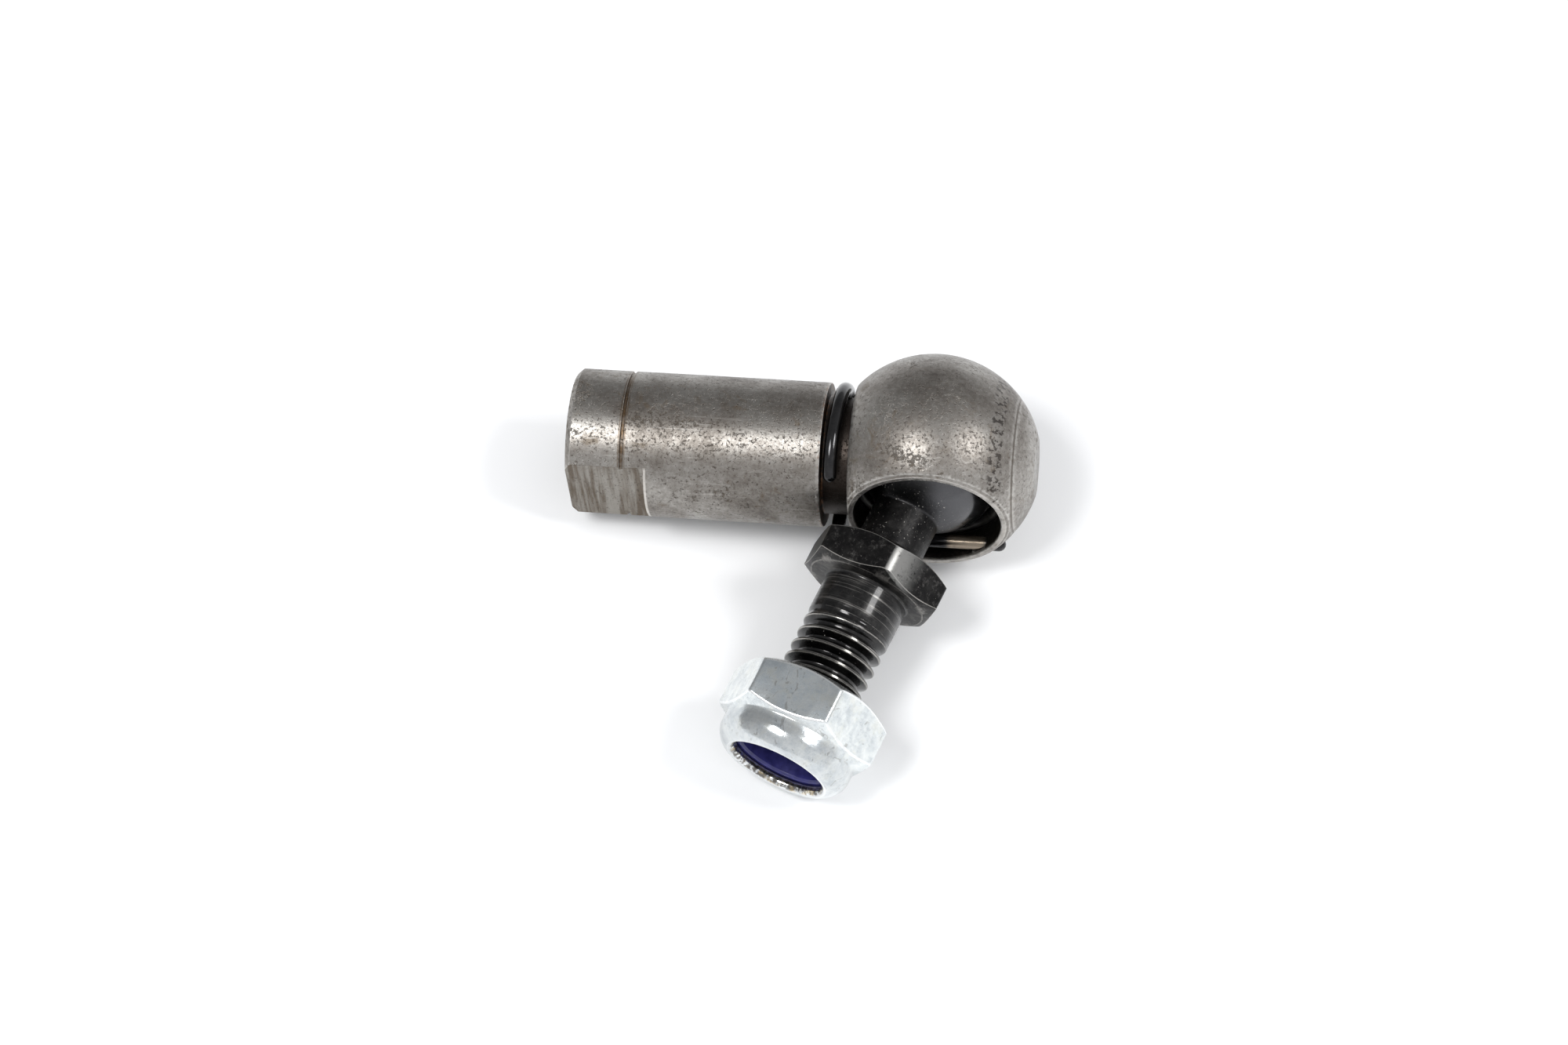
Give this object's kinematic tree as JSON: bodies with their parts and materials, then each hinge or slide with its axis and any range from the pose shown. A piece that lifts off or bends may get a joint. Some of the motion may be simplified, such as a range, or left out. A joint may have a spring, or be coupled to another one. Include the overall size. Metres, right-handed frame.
{
  "type": "angled ball joint rod end",
  "caption": "Angled rod end: a ball stud swivels in a steel ball socket with a threaded shank, held by a wire safety catch and fitted with a self-locking nut.",
  "frame": {"origin": "centre of the ball, which is the point the stud swivels about", "axes": "-X along the shank, out of its thread mouth; the socket opens towards -Y; +Z completes the frame and is up when the shank lies level"},
  "size_m": [0.0321, 0.032, 0.0155],
  "materials": {
    "socket_steel": "worn, lightly mottled turned steel",
    "ring_wire": "plain spring wire",
    "catch_wire": "glossy blackened spring wire",
    "black_oxide": "glossy black oxide, worn bright on edges",
    "zinc_plate": "bluish bright zinc plate",
    "blue_nylon": "satin dark blue nylon"
  },
  "bodies": {
    "socket": {"ball_socket": "socket_steel", "safety_catch": "catch_wire"},
    "retainer": {"snap_ring": "ring_wire"},
    "stud": {"ball_stud": "black_oxide"},
    "nut_carrier": {"nylon_insert": "blue_nylon"},
    "nut": {"lock_nut": "zinc_plate"}
  },
  "joints": [
    {"name": "stud_swing", "type": "hinge", "parent": "socket", "child": "retainer", "pos_m": [0, 0, 0], "axis": [0, -1, 0], "range_deg": [-225, 2]},
    {"name": "stud_tilt", "type": "hinge", "parent": "retainer", "child": "stud", "pos_m": [0, 0, 0], "axis": [0.373, 0, -0.9278], "range_deg": [-31.5, 3]},
    {"name": "nut_travel", "type": "slide", "parent": "stud", "child": "nut_carrier", "axis": [-0.3401, -0.9304, -0.1367], "range_m": [-0.0044, 0.0026]},
    {"name": "nut_turn", "type": "hinge", "parent": "nut_carrier", "child": "nut", "pos_m": [0, 0, 0], "axis": [-0.3401, -0.9304, -0.1367], "range_deg": [-1588, 940]}
  ],
  "couplings": [
    {"joint": "nut_turn", "follows": "nut_travel", "rad_per_m": 6283.2}
  ]
}
